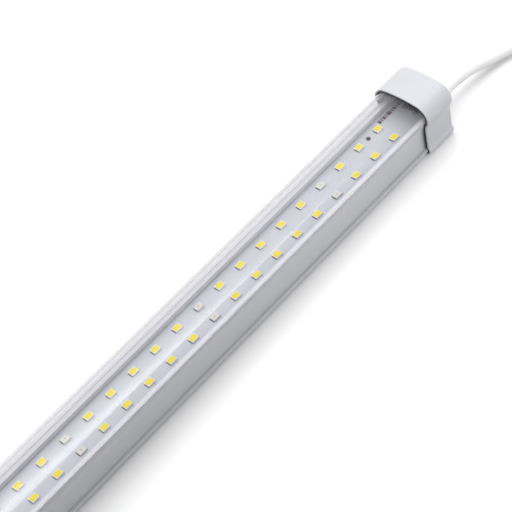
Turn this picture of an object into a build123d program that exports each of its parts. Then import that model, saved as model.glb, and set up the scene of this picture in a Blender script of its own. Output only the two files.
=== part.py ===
from build123d import *
import math
import os

# LED light tube: an aluminium channel with a clear snap-in cover, closed by two moulded caps.
# Millimetres. X runs along the tube towards the cord end and Z is up. The origin is the middle of
# the tube's footprint, on the surface that the caps stand on. The tube's own sections are drawn from
# the underside of the housing and lifted by CAP_STAND when they are written.

# ---- LED rows ----
PAIRS = 96                     # pairs of LEDs along the board
PITCH = 12.0                   # from one pair to the next
ROW_GAP = 8.4                  # between the two rows, centre to centre
RED_EVERY = 6                  # one pair in six is deep red
RED_FIRST = 3                  # index of the first red pair, counted from the cord end
LED_SIZE = (3.5, 2.8, 0.8)     # package along X, across, and its height
WINDOW_SIZE = (2.75, 2.05, 0.06)
LAST_LED_X = (PAIRS - 1) * PITCH / 2

# ---- lengths along X, measured from the middle to one end ----
CAP_RIM_X = LAST_LED_X + 10.6  # open mouth of the cap
CAP_LENGTH = 16.1
CAP_END_X = CAP_RIM_X + CAP_LENGTH
CAP_END_WALL = 2.6
GASKET_THICKNESS = 1.0
SKIRT_SETBACK = 0.1            # from the cap's rim to the edge of the seal's skirt
HOUSING_END_X = CAP_END_X - CAP_END_WALL - GASKET_THICKNESS
BOARD_END_X = HOUSING_END_X - 2.5

# ---- housing section ----
FOOT_BEAD_RADIUS = 1.05
FOOT_HALF_WIDTH = 11.65        # outermost point of the foot bead
WAIST_HALF_WIDTH = 10.25
WALL_FOOT_HALF_WIDTH = 10.5
LIP_HALF_WIDTH = 11.0
LIP_TOP_Z = 15.6
LIP_INNER = 9.5
WALL_THICKNESS = 1.3
BASE_THICKNESS = 1.2
SHELF_Z = (12.0, 13.2)         # underside and top of the board shelf
BOARD_POCKET = 9.35            # half width of the pocket that holds the board
HOOK_GROOVE_Z = (14.3, 15.1)
HOOK_GROOVE_DEPTH = 0.6
PORT_Y, PORT_Z = 6.9, 10.1     # screw ports, run into the shelf and the side wall
PORT_RADIUS = 2.2
PORT_BORE_RADIUS = 1.2

# ---- board ----
BOARD_HALF_WIDTH = 9.1
BOARD_THICKNESS = 1.0
BOARD_TOP_Z = SHELF_Z[1] + BOARD_THICKNESS
RIVET_X = (LAST_LED_X - PITCH / 2, -LAST_LED_X + PITCH / 2)
RIVET_HEAD_RADIUS = 0.95
RIVET_SHANK_RADIUS = 0.6
WIRE_HOLE_X = LAST_LED_X + 17.0
WIRE_HOLE_RADIUS = 1.7
LED_TOP_Z = BOARD_TOP_Z + LED_SIZE[2]

# ---- cover section ----
COVER_THICKNESS = 0.9
COVER_HALF_WIDTH = 12.3
COVER_TOP_Z = 24.5
CROWN_RADIUS = 53.0            # the top is almost flat
SHOULDER_RADIUS = 5.3
TUCK_RADIUS = 4.0              # the side turns in towards the lip
SEAT_Z = LIP_TOP_Z + 0.15      # underside of the cover where it passes over the lip
LEG_OUTER = 9.4
LEG_FOOT_Z = 14.35
HOOK_SIZE = (0.6, 0.6)

# ---- caps ----
CAP_CLEARANCE = 0.7            # filled by the seal's skirt
CAP_WALL = 0.6
CAP_STAND = CAP_CLEARANCE + CAP_WALL   # the caps hold the housing this far off the surface
CAP_END_ROUND = 1.0
TUCK_ANGLE = math.radians(32)  # how far the cover's side turns in before the cap's waist
CAP_WAIST = 10.9               # half width of the outline that the caps follow
CAP_FOOT_HOLLOW = 2.2          # radius between the waist and the foot bead
SCREW_HEAD_RADIUS = 2.2
SCREW_HEAD_HEIGHT = 1.3
SCREW_SHANK_RADIUS = 1.15
SCREW_LENGTH = 10.0

# ---- mains lead ----
CORD_DIAMETER = 5.8
CORD_EXIT_Z = 7.0              # above the housing's underside
CORD_REST_Z = CORD_DIAMETER / 2
GROMMET_FLANGE_RADIUS = 5.2
GROMMET_BARREL_RADIUS = 4.2
GROMMET_NOSE = 12.5            # how far the tapered nose stands out of the cap
GROMMET_TIP_RADIUS = 3.15

# the stretch of lead from the grommet to the hank, point by point
LEAD_ROUTE = [
    (CAP_END_X + GROMMET_NOSE, 0, CORD_EXIT_Z + CAP_STAND),
    (620, -0.2, 8.0),
    (633, -1.7, 4.2),
    (647.5, -5.6, CORD_REST_Z),
    (661, -12.6, CORD_REST_Z),
    (673, -21.0, CORD_REST_Z),
]

# ---- hank: the rest of the lead, folded in line with the tube and tied ----
HANK_TURNS = 4
HANK_Y = -12.0
HANK_LOOP_RADIUS = 19.0        # to the middle of the cord
HANK_LEFT_X = 688.0            # centre of the end loop nearest the tube
HANK_RUN = 110.0               # between the centres of the end loops
HANK_RIGHT_X = HANK_LEFT_X + HANK_RUN
HANK_MID_X = HANK_LEFT_X + HANK_RUN / 2
HANK_NECK = CORD_DIAMETER      # half width where the tie pulls the runs together
HANK_SHOULDER = math.radians(32)   # where an end loop gives way to the neck
HANK_TOP_Z = 1.0 + HANK_TURNS * CORD_DIAMETER
HANK_EDGE_ROUND = 2.4
TIE_WIDTH = 9.0
TIE_THICKNESS = 1.0
TIE_SLACK = 0.7                # over the lead that lies on top of the hank

# the short stretch on top of the hank that ends in the plug
TAIL_Z = HANK_TOP_Z + CORD_REST_Z
PLUG_AXIS_Z = HANK_TOP_Z + 6.6
PLUG_RELIEF_X = HANK_MID_X + 26.0
TAIL_ROUTE = [
    (HANK_MID_X - 36, HANK_Y - 6.0, TAIL_Z),
    (HANK_MID_X - 20, HANK_Y - 1.4, TAIL_Z),
    (HANK_MID_X - 2, HANK_Y + 0.2, TAIL_Z),
    (HANK_MID_X + 13, HANK_Y, TAIL_Z + 1.4),
    (PLUG_RELIEF_X, HANK_Y, PLUG_AXIS_Z),
]

# ---- plug: two flat blades, 12.7 mm apart ----
PLUG_RELIEF_LENGTH = 24.0
PLUG_BODY = (31.0, 19.0, 13.2)
BLADE_SIZE = (17.0, 1.5, 6.35)
BLADE_SPACING = 12.7

# ---- driver, in the chamber under the shelf ----
DRIVER_X = (330.0, 555.0)      # ends of the driver board
DRIVER_HALF_WIDTH = 8.1
DRIVER_BOARD_Z = (2.2, 3.4)
FILM_THICKNESS = 0.3
FILM_HALF_WIDTH = 8.7
FILM_TOP_Z = 7.2
CAPACITOR_RADIUS = 4.0
CAPACITOR_LENGTH = 14.0
WIRE_RADIUS = 0.75


def box(x, y, z):
    """A box from three (low, high) ranges."""
    size = [b - a for a, b in (x, y, z)]
    middle = [(a + b) / 2 for a, b in (x, y, z)]
    return Pos(*middle) * Box(*size)


def along_x(face, start, end):
    """A face drawn in the YZ plane, carried along X from start to end."""
    return Pos(start, 0, 0) * extrude(face, end - start)


def yz(y, z):
    return Vector(0, y, z)


def mirrored_face(half):
    """A closed face from the edges of its +Y half, listed from the bottom up."""
    edges = Curve() + half
    return make_face(edges + mirror(edges, Plane.XZ))


def group(shapes):
    """Separate solids of one kind, written together as one node."""
    return Compound([solid for shape in shapes for solid in shape.solids()])


def round_bar(centre, radius, start, end):
    """A round bar along X."""
    y, z = centre
    return Pos((start + end) / 2, y, z) * Rot(0, 90, 0) * Cylinder(radius, end - start)


# ---------------------------------------------------------------- housing and cover
def housing_outline():
    """Outer edges of the housing from the middle of the base to the lip's inner corner."""
    bead_y = FOOT_HALF_WIDTH - FOOT_BEAD_RADIUS
    bead_top_z = FOOT_BEAD_RADIUS + math.sqrt(
        FOOT_BEAD_RADIUS ** 2 - (WALL_FOOT_HALF_WIDTH - bead_y) ** 2)
    return [
        Line(yz(0, 0), yz(bead_y, 0)),
        ThreePointArc(yz(bead_y, 0), yz(FOOT_HALF_WIDTH, FOOT_BEAD_RADIUS),
                      yz(WALL_FOOT_HALF_WIDTH, bead_top_z)),
        ThreePointArc(yz(WALL_FOOT_HALF_WIDTH, bead_top_z), yz(WAIST_HALF_WIDTH, 8.2),
                      yz(10.6, 14.0)),
        Line(yz(10.6, 14.0), yz(LIP_HALF_WIDTH, 14.9)),
        Line(yz(LIP_HALF_WIDTH, 14.9), yz(LIP_HALF_WIDTH, LIP_TOP_Z - 0.4)),
        ThreePointArc(yz(LIP_HALF_WIDTH, LIP_TOP_Z - 0.4), yz(LIP_HALF_WIDTH - 0.12, LIP_TOP_Z - 0.12),
                      yz(LIP_HALF_WIDTH - 0.4, LIP_TOP_Z)),
    ]


def make_housing():
    outline = housing_outline()
    outline += [
        Line(yz(LIP_HALF_WIDTH - 0.4, LIP_TOP_Z), yz(0, LIP_TOP_Z)),
    ]
    body = mirrored_face(outline)
    inner_half = WAIST_HALF_WIDTH - WALL_THICKNESS
    chamber = Plane.YZ * Pos(0, (BASE_THICKNESS + SHELF_Z[0]) / 2) * RectangleRounded(
        2 * inner_half, SHELF_Z[0] - BASE_THICKNESS, 0.5)
    pocket = Plane.YZ * Pos(0, (SHELF_Z[1] + LIP_TOP_Z + 1) / 2) * Rectangle(
        2 * BOARD_POCKET, LIP_TOP_Z + 1 - SHELF_Z[1])
    groove_half = LIP_INNER + HOOK_GROOVE_DEPTH
    groove = Plane.YZ * Pos(0, sum(HOOK_GROOVE_Z) / 2) * Rectangle(
        2 * groove_half, HOOK_GROOVE_Z[1] - HOOK_GROOVE_Z[0])
    mouth = Plane.YZ * Pos(0, LIP_TOP_Z) * Rectangle(2 * LIP_INNER, 1.0)
    face = body - chamber - pocket - groove - mouth
    for side in (-1, 1):
        port = Plane.YZ * Pos(side * PORT_Y, PORT_Z) * Circle(PORT_RADIUS)
        bore = Plane.YZ * Pos(side * PORT_Y, PORT_Z) * Circle(PORT_BORE_RADIUS)
        face = (face + port) - bore
    return along_x(face, -HOUSING_END_X, HOUSING_END_X)


def arc(centre, radius, start, end):
    """An arc in the YZ plane, from one angle to another in degrees, measured from +Y towards +Z."""
    points = []
    for degrees in (start, (start + end) / 2, end):
        a = math.radians(degrees)
        points.append(yz(centre[0] + radius * math.cos(a), centre[1] + radius * math.sin(a)))
    return ThreePointArc(*points)


# the crown's centre, and the shoulder circle that touches both the crown and the cover's side
CROWN_CENTRE = (0, COVER_TOP_Z - CROWN_RADIUS)
SHOULDER_Y = COVER_HALF_WIDTH - SHOULDER_RADIUS
SHOULDER_Z = CROWN_CENTRE[1] + math.sqrt((CROWN_RADIUS - SHOULDER_RADIUS) ** 2 - SHOULDER_Y ** 2)
SHOULDER_ANGLE = math.degrees(math.atan2(SHOULDER_Z - CROWN_CENTRE[1], SHOULDER_Y))
TUCK_CENTRE = (COVER_HALF_WIDTH - TUCK_RADIUS, SHOULDER_Z)


def upper_edges(tuck_degrees):
    """The cover's outline from its tucked-in side up to the middle of the crown."""
    return [
        arc(TUCK_CENTRE, TUCK_RADIUS, -tuck_degrees, 0),
        arc((SHOULDER_Y, SHOULDER_Z), SHOULDER_RADIUS, 0, SHOULDER_ANGLE),
        arc(CROWN_CENTRE, CROWN_RADIUS, SHOULDER_ANGLE, 90),
    ]


def make_cover():
    seat_degrees = math.degrees(math.asin((SHOULDER_Z - SEAT_Z) / TUCK_RADIUS))
    seat_y = TUCK_CENTRE[0] + TUCK_RADIUS * math.cos(math.radians(seat_degrees))
    dome = mirrored_face([Line(yz(0, SEAT_Z), yz(seat_y, SEAT_Z))] + upper_edges(seat_degrees))
    leg_inner = LEG_OUTER - COVER_THICKNESS
    wall = dome - offset(dome, amount=-COVER_THICKNESS)
    wall -= Plane.YZ * Pos(0, SEAT_Z) * Rectangle(2 * leg_inner, 3 * COVER_THICKNESS)
    for side in (-1, 1):
        leg_top = SEAT_Z + COVER_THICKNESS / 2
        leg = Plane.YZ * Pos(side * (leg_inner + LEG_OUTER) / 2, (LEG_FOOT_Z + leg_top) / 2) * Rectangle(
            COVER_THICKNESS, leg_top - LEG_FOOT_Z)
        hook = Plane.YZ * Pos(side * (LEG_OUTER + 0.15), sum(HOOK_GROOVE_Z) / 2) * Rectangle(*HOOK_SIZE)
        wall = wall + leg + hook
    return along_x(wall, -HOUSING_END_X, HOUSING_END_X)


# ---------------------------------------------------------------- caps and gaskets
def envelope(grow):
    """One smooth outline round the housing and cover, grow mm outside them."""
    tuck_end = (TUCK_CENTRE[0] + TUCK_RADIUS * math.cos(TUCK_ANGLE),
                TUCK_CENTRE[1] - TUCK_RADIUS * math.sin(TUCK_ANGLE))
    hollow_radius = (tuck_end[0] - CAP_WAIST) / (1 - math.cos(TUCK_ANGLE))
    waist_top_z = tuck_end[1] - hollow_radius * math.sin(TUCK_ANGLE)
    bead_y = FOOT_HALF_WIDTH - FOOT_BEAD_RADIUS
    hollow_y = CAP_WAIST + CAP_FOOT_HOLLOW
    rise = math.sqrt((FOOT_BEAD_RADIUS + CAP_FOOT_HOLLOW) ** 2 - (hollow_y - bead_y) ** 2)
    bead_angle = math.degrees(math.atan2(rise, hollow_y - bead_y))
    hollow_z = FOOT_BEAD_RADIUS + rise
    half = [
        Line(yz(0, 0), yz(bead_y, 0)),
        arc((bead_y, FOOT_BEAD_RADIUS), FOOT_BEAD_RADIUS, -90, bead_angle),
        arc((hollow_y, hollow_z), CAP_FOOT_HOLLOW, 180 + bead_angle, 180),
        Line(yz(CAP_WAIST, hollow_z), yz(CAP_WAIST, waist_top_z)),
        arc((CAP_WAIST + hollow_radius, waist_top_z), hollow_radius, 180, 180 - math.degrees(TUCK_ANGLE)),
    ] + upper_edges(math.degrees(TUCK_ANGLE))
    outline = mirrored_face(half)
    return offset(outline, amount=grow) if grow else outline


def make_cap(side, cord_hole):
    """A cap on the +X end (side 1) or the -X end (side -1)."""
    outer = along_x(envelope(CAP_CLEARANCE + CAP_WALL), CAP_RIM_X, CAP_END_X)
    outer = fillet(outer.faces().sort_by(Axis.X)[-1].edges(), CAP_END_ROUND)
    socket = along_x(envelope(CAP_CLEARANCE), CAP_RIM_X, CAP_END_X - CAP_END_WALL)
    cap = outer - socket
    for y in (-PORT_Y, PORT_Y):
        cap -= round_bar((y, PORT_Z), SCREW_SHANK_RADIUS + 0.1, CAP_RIM_X, CAP_END_X)
        cap -= round_bar((y, PORT_Z), SCREW_HEAD_RADIUS + 0.15, CAP_END_X - SCREW_HEAD_HEIGHT, CAP_END_X)
    if cord_hole:
        cap -= round_bar((0, CORD_EXIT_Z), GROMMET_BARREL_RADIUS, CAP_RIM_X, CAP_END_X)
    return cap if side > 0 else mirror(cap, Plane.YZ)


def make_gasket(side, cord_hole):
    """A seal between housing and cap: a flat end with a skirt round the housing and cover."""
    seal = along_x(envelope(CAP_CLEARANCE), CAP_RIM_X + SKIRT_SETBACK, HOUSING_END_X + GASKET_THICKNESS)
    seal -= along_x(envelope(0), CAP_RIM_X, HOUSING_END_X)
    for y in (-PORT_Y, PORT_Y):
        seal -= round_bar((y, PORT_Z), SCREW_SHANK_RADIUS + 0.1, HOUSING_END_X - 1, CAP_END_X)
    if cord_hole:
        seal -= round_bar((0, CORD_EXIT_Z), GROMMET_FLANGE_RADIUS, HOUSING_END_X - 1, CAP_END_X)
    return seal if side > 0 else mirror(seal, Plane.YZ)


def make_cap_screws():
    """Four pan-head screws, two in each cap, driven into the housing's ports."""
    head_x = CAP_END_X - SCREW_HEAD_HEIGHT
    screws = []
    for y in (-PORT_Y, PORT_Y):
        head = round_bar((y, PORT_Z), SCREW_HEAD_RADIUS, head_x, CAP_END_X - 0.1)
        for turn in (0, 90):
            slot = Pos(CAP_END_X, y, PORT_Z) * Rot(turn, 0, 0) * Box(1.2, 0.6, 2.6)
            head -= slot
        shank = round_bar((y, PORT_Z), SCREW_SHANK_RADIUS, head_x - SCREW_LENGTH, head_x)
        screw = head + shank
        screws += [screw, mirror(screw, Plane.YZ)]
    return group(screws)


def make_grommet():
    """Moulded strain relief: a flange inside the cap, a barrel in its wall and a tapered nose."""
    inner_face = CAP_END_X - CAP_END_WALL
    flange = round_bar((0, CORD_EXIT_Z), GROMMET_FLANGE_RADIUS - 0.2, inner_face - 2.0, inner_face)
    barrel = round_bar((0, CORD_EXIT_Z), GROMMET_BARREL_RADIUS, inner_face, CAP_END_X)
    nose = Pos(CAP_END_X + GROMMET_NOSE / 2, 0, CORD_EXIT_Z) * Rot(0, 90, 0) * Cone(
        GROMMET_BARREL_RADIUS, GROMMET_TIP_RADIUS, GROMMET_NOSE)
    body = flange + barrel + nose
    bore = round_bar((0, CORD_EXIT_Z), CORD_DIAMETER / 2 - 0.4, inner_face - 3, CAP_END_X)
    return body - bore


# ---------------------------------------------------------------- LED board
def led_stations():
    """(x, y, red) of every LED, counted from the cord end."""
    for index in range(PAIRS):
        red = index % RED_EVERY == RED_FIRST
        for y in (-ROW_GAP / 2, ROW_GAP / 2):
            yield LAST_LED_X - index * PITCH, y, red


def led_blocks(size, base_z, red):
    """One block on every red LED station, or on every white one."""
    blank = Pos(0, 0, base_z + size[2] / 2) * Box(*size)
    return group([Pos(x, y, 0) * blank for x, y, is_red in led_stations() if is_red == red])


def make_board():
    board = box((-BOARD_END_X, BOARD_END_X), (-BOARD_HALF_WIDTH, BOARD_HALF_WIDTH),
                (SHELF_Z[1], BOARD_TOP_Z))
    for x in RIVET_X:
        board -= Pos(x, ROW_GAP / 2, BOARD_TOP_Z) * Cylinder(RIVET_SHANK_RADIUS, 4)
    return board


def make_board_rivets():
    """Two small rivets that hold the board at its ends."""
    rivets = []
    for x in RIVET_X:
        head = Pos(x, ROW_GAP / 2, BOARD_TOP_Z + 0.125) * Cylinder(RIVET_HEAD_RADIUS, 0.25)
        shank = Pos(x, ROW_GAP / 2, BOARD_TOP_Z - BOARD_THICKNESS / 2) * Cylinder(
            RIVET_SHANK_RADIUS, BOARD_THICKNESS)
        rivets.append(head + shank)
    return group(rivets)


def make_solder_joints():
    """Two solder mounds where the wires from the driver reach the board."""
    mounds = []
    for y in (-2.6, 2.6):
        mound = Pos(BOARD_END_X - 5.0, y, BOARD_TOP_Z) * Sphere(1.1)
        mounds.append(mound & box((500, 600), (-5, 5), (BOARD_TOP_Z, BOARD_TOP_Z + 2)))
    return group(mounds)


def make_wire_hole():
    """The hole that takes the wires up through the shelf and the board."""
    return Pos(WIRE_HOLE_X, 0, SHELF_Z[0]) * Cylinder(WIRE_HOLE_RADIUS, 10)


# ---------------------------------------------------------------- driver
def swept_wire(points, radius, bend):
    """A round wire along straight runs with one bend radius."""
    path = FilletPolyline(*points, radius=bend)
    start = Plane(origin=path @ 0, z_dir=path % 0)
    return sweep(start * Circle(radius), path=path)


def make_driver():
    """The driver's separate pieces, by node name."""
    x0, x1 = DRIVER_X
    top = DRIVER_BOARD_Z[1]
    board = box((x0, x1), (-DRIVER_HALF_WIDTH, DRIVER_HALF_WIDTH), DRIVER_BOARD_Z)
    film = box((x0 - 4, x1 + 4), (-FILM_HALF_WIDTH, FILM_HALF_WIDTH), (1.5, FILM_TOP_Z))
    film -= box((x0 - 5, x1 + 5), (-FILM_HALF_WIDTH + FILM_THICKNESS, FILM_HALF_WIDTH - FILM_THICKNESS),
                (1.5 + FILM_THICKNESS, FILM_TOP_Z + 1))
    capacitors = []
    for start in (x0 + 18, x0 + 62):
        can = round_bar((0, top + CAPACITOR_RADIUS), CAPACITOR_RADIUS, start, start + CAPACITOR_LENGTH)
        capacitors.append(fillet(can.edges().filter_by(GeomType.CIRCLE), 0.6))
    choke_base = box((x0 + 100, x0 + 113), (-4.5, 4.5), (top, top + 1.2))
    choke_core = box((x0 + 101, x0 + 104), (-4.5, 4.5), (top + 1.2, top + 7.4)) \
        + box((x0 + 109, x0 + 112), (-4.5, 4.5), (top + 1.2, top + 7.4)) \
        + box((x0 + 104, x0 + 109), (-1.5, 1.5), (top + 2.8, top + 5.8))
    winding = round_bar((0, top + 4.3), 2.9, x0 + 104, x0 + 109) \
        - box((x0 + 103, x0 + 110), (-1.5, 1.5), (top + 2.8, top + 5.8))
    controller = box((x0 + 140, x0 + 145), (-2.0, 2.0), (top + 0.1, top + 1.6)) \
        + box((x0 + 140.4, x0 + 144.6), (-3.0, 3.0), (top, top + 0.35))
    rectifier = fillet(box((x0 + 172, x0 + 180), (-3.2, 3.2), (top, top + 3.2)).edges(), 0.3)
    fuse = round_bar((0, top + 1.7), 1.7, x0 + 196, x0 + 205)
    return {
        "driver_board": board,
        "driver_insulating_film": film,
        "driver_capacitors": group(capacitors),
        "driver_choke_bobbin": choke_base,
        "driver_choke_core": choke_core,
        "driver_choke_winding": winding,
        "driver_controller": controller,
        "driver_rectifier": rectifier,
        "driver_fuse": fuse,
    }


def make_mains_wires():
    """Live and neutral, from the lead's end inside the grommet down to the driver board."""
    landing_z = DRIVER_BOARD_Z[1] + WIRE_RADIUS
    return group([swept_wire([
        (CAP_END_X - 0.5, side * 1.2, CORD_EXIT_Z),
        (CAP_END_X - 4.2, side * 1.2, CORD_EXIT_Z),
        (WIRE_HOLE_X - 1, side * 4.4, CORD_EXIT_Z - 0.4),
        (DRIVER_X[1] + 10, side * 4.4, landing_z),
        (DRIVER_X[1] - 3, side * 4.4, landing_z),
    ], WIRE_RADIUS, 4.0) for side in (-1, 1)])


def make_led_wires():
    """Two wires from the driver, up through the shelf, to the solder joints on the LED board."""
    landing_z = DRIVER_BOARD_Z[1] + WIRE_RADIUS
    return group([swept_wire([
        (DRIVER_X[1] - 3, side * 1.1, landing_z),
        (WIRE_HOLE_X, side * 0.85, landing_z),
        (WIRE_HOLE_X, side * 0.85, BOARD_TOP_Z + 1.4),
    ], WIRE_RADIUS, 2.4) for side in (-1, 1)])


# ---------------------------------------------------------------- mains lead, hank and plug
def corner_radii(route):
    """Each corner's arc: as large as its two runs allow."""
    radii = []
    for before, corner, after in zip(route, route[1:], route[2:]):
        run_in = Vector(*corner) - Vector(*before)
        run_out = Vector(*after) - Vector(*corner)
        half_turn = math.radians(run_in.get_angle(run_out)) / 2
        radii.append(0.45 * min(run_in.length, run_out.length) / math.tan(half_turn))
    return radii


def make_tube(name, route):
    """A round tube along straight runs joined by tangent arcs, with its radii and volume printed."""
    radii = corner_radii(route)
    path = FilletPolyline(*route, radius=radii)
    section = Plane(origin=path @ 0, z_dir=path % 0) * Circle(CORD_DIAMETER / 2)
    tube = sweep(section, path=path)
    expected = math.pi * CORD_DIAMETER ** 2 / 4 * path.length
    print(name, "radii", [round(r, 1) for r in radii], "length", round(path.length, 1),
          "volume / (section x length)", round(tube.volume / expected, 4))
    return tube


def hank_point(centre_x, angle, radius, side_x, side_y):
    return Vector(centre_x + side_x * radius * math.sin(angle), HANK_Y + side_y * radius * math.cos(angle), 0)


def make_hank_tie():
    """A strap round the neck of the hank and the lead that lies on top of it."""
    height = TAIL_Z + CORD_DIAMETER / 2 + TIE_SLACK - TIE_THICKNESS
    half_width = HANK_NECK + 0.15
    middle = TIE_THICKNESS + height / 2
    inner = Plane.YZ * Pos(HANK_Y, middle) * RectangleRounded(2 * half_width, height, 2.2)
    outer = Plane.YZ * Pos(HANK_Y, middle) * RectangleRounded(
        2 * (half_width + TIE_THICKNESS), height + 2 * TIE_THICKNESS, 2.2 + TIE_THICKNESS)
    return along_x(outer - inner, HANK_MID_X - TIE_WIDTH / 2, HANK_MID_X + TIE_WIDTH / 2)


def make_hank(tie):
    """The outer shape of the folded lead: two end loops and a neck drawn in by the tie."""
    radius = HANK_LOOP_RADIUS + CORD_DIAMETER / 2
    left, right = HANK_LEFT_X, HANK_RIGHT_X
    a = HANK_SHOULDER
    corners = [hank_point(left, a, radius, 1, 1), hank_point(right, a, radius, -1, 1),
               hank_point(right, a, radius, -1, -1), hank_point(left, a, radius, 1, -1)]
    outline = Curve() + [
        ThreePointArc(corners[0], Vector(HANK_MID_X, HANK_Y + HANK_NECK, 0), corners[1]),
        ThreePointArc(corners[1], Vector(right + radius, HANK_Y, 0), corners[2]),
        ThreePointArc(corners[2], Vector(HANK_MID_X, HANK_Y - HANK_NECK, 0), corners[3]),
        ThreePointArc(corners[3], Vector(left - radius, HANK_Y, 0), corners[0]),
    ]
    block = extrude(make_face(outline), HANK_TOP_Z)
    block = fillet(block.faces().sort_by(Axis.Z)[-1].edges(), HANK_EDGE_ROUND)
    return block - tie


def make_plug():
    """The plug's pieces, by node name."""
    length, width, thick = PLUG_BODY
    body_x = PLUG_RELIEF_X + PLUG_RELIEF_LENGTH
    relief = Pos(PLUG_RELIEF_X + PLUG_RELIEF_LENGTH / 2, HANK_Y, PLUG_AXIS_Z) * Rot(0, 90, 0) * Cone(
        3.3, 5.4, PLUG_RELIEF_LENGTH)
    body = Pos(body_x + length / 2, HANK_Y, PLUG_AXIS_Z) * Box(length, width, thick)
    body = fillet(body.edges().filter_by(Axis.X), 3.6)
    body = fillet(body.faces().sort_by(Axis.X)[0].edges(), 3.0)
    blades = []
    reach, thin, tall = BLADE_SIZE
    for side in (-1, 1):
        y = HANK_Y + side * BLADE_SPACING / 2
        blade = box((body_x + length, body_x + length + reach), (y - thin / 2, y + thin / 2),
                    (PLUG_AXIS_Z - tall / 2, PLUG_AXIS_Z + tall / 2))
        tip = blade.faces().sort_by(Axis.X)[-1].edges().filter_by(Axis.Y)
        blade = fillet(tip, 1.6)
        blade -= Pos(body_x + length + reach - 4, y, PLUG_AXIS_Z) * Rot(90, 0, 0) * Cylinder(1.5, 5)
        blades.append(blade)
    return {"plug_relief": relief, "plug_body": body, "plug_blades": group(blades)}


# ---------------------------------------------------------------- everything, one file per node
def make_tube_nodes():
    """The tube's own pieces, by node name, before they are lifted."""
    wire_hole = make_wire_hole()
    nodes = {
        "housing": make_housing() - wire_hole,
        "cover": make_cover(),
        "led_board": make_board() - wire_hole,
        "led_packages_white": led_blocks(LED_SIZE, BOARD_TOP_Z, red=False),
        "led_packages_red": led_blocks(LED_SIZE, BOARD_TOP_Z, red=True),
        "led_phosphor_windows": led_blocks(WINDOW_SIZE, LED_TOP_Z, red=False),
        "led_clear_windows": led_blocks(WINDOW_SIZE, LED_TOP_Z, red=True),
        "board_rivets": make_board_rivets(),
        "board_solder_joints": make_solder_joints(),
        "cap_cord_end": make_cap(1, cord_hole=True),
        "cap_far_end": make_cap(-1, cord_hole=False),
        "gasket_cord_end": make_gasket(1, cord_hole=True),
        "gasket_far_end": make_gasket(-1, cord_hole=False),
        "cap_screws": make_cap_screws(),
        "cord_grommet": make_grommet(),
        "mains_wires": make_mains_wires(),
        "led_wires": make_led_wires(),
    }
    nodes.update(make_driver())
    return nodes


def make_lead_nodes():
    """The lead from the grommet to the plug, by node name."""
    tie = make_hank_tie()
    hank = make_hank(tie)
    nodes = {
        "lead_tube": make_tube("lead_tube", LEAD_ROUTE) - hank,
        "lead_hank": hank,
        "lead_tail": make_tube("lead_tail", TAIL_ROUTE),
        "hank_tie": tie,
    }
    nodes.update(make_plug())
    return nodes


os.makedirs("parts", exist_ok=True)
finished = {name: Pos(0, 0, CAP_STAND) * shape for name, shape in make_tube_nodes().items()}
finished.update(make_lead_nodes())
for node_name, node_shape in finished.items():
    export_step(node_shape, os.path.join("parts", node_name + ".step"))
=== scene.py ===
import math

import bpy
from mathutils import Matrix, Vector


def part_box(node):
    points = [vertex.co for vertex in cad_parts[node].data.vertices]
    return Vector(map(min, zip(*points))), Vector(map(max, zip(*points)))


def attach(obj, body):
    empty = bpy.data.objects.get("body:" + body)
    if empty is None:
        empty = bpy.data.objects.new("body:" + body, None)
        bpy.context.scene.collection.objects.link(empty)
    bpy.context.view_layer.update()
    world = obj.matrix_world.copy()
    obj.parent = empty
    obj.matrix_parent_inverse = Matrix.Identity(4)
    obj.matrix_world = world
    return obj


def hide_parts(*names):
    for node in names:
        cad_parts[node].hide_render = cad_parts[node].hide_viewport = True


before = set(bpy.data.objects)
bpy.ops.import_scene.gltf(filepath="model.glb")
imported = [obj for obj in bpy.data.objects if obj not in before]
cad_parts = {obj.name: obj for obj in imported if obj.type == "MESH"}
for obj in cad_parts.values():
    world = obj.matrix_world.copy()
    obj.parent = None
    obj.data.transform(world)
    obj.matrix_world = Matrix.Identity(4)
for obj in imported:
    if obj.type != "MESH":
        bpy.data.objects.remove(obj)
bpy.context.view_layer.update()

MM = 0.001
scene = bpy.context.scene
scene.view_settings.view_transform = "Standard"

# ---- camera ----
CAMERA_PLACE = Vector((0.2365, -0.3306, 0.5120))
CAMERA_RIGHT = Vector((0.6516, -0.7414, -0.1606))
CAMERA_UP = Vector((0.6480, 0.4340, 0.6259))
CAMERA_LENS = 119.53
CAMERA_CLIP_START = 0.05

# ---- mains lead: the route of its free stretches, point by point, in metres ----
CORD_WIDTH = 5.8 * MM
CORD_HEIGHT = 5.5 * MM
CORD_REST_Z = 2.9 * MM
CORD_SECTION_POINTS = 28
CORD_GROOVE_SHARE = 0.10       # of the section's half height
CORD_GROOVE_WIDTH = 0.55 * MM
LEAD_ROUTE = [
    (0.6092, 0.0, 0.0083),
    (0.6200, -0.0002, 0.0080),
    (0.6330, -0.0017, 0.0042),
    (0.6475, -0.0056, 0.0029),
    (0.6610, -0.0126, 0.0029),
    (0.6730, -0.0210, 0.0029),
]
TAIL_ROUTE = [
    (0.7070, -0.0180, 0.0271),
    (0.7230, -0.0134, 0.0271),
    (0.7410, -0.0118, 0.0271),
    (0.7560, -0.0120, 0.0285),
    (0.7690, -0.0120, 0.0308),
]

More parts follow.
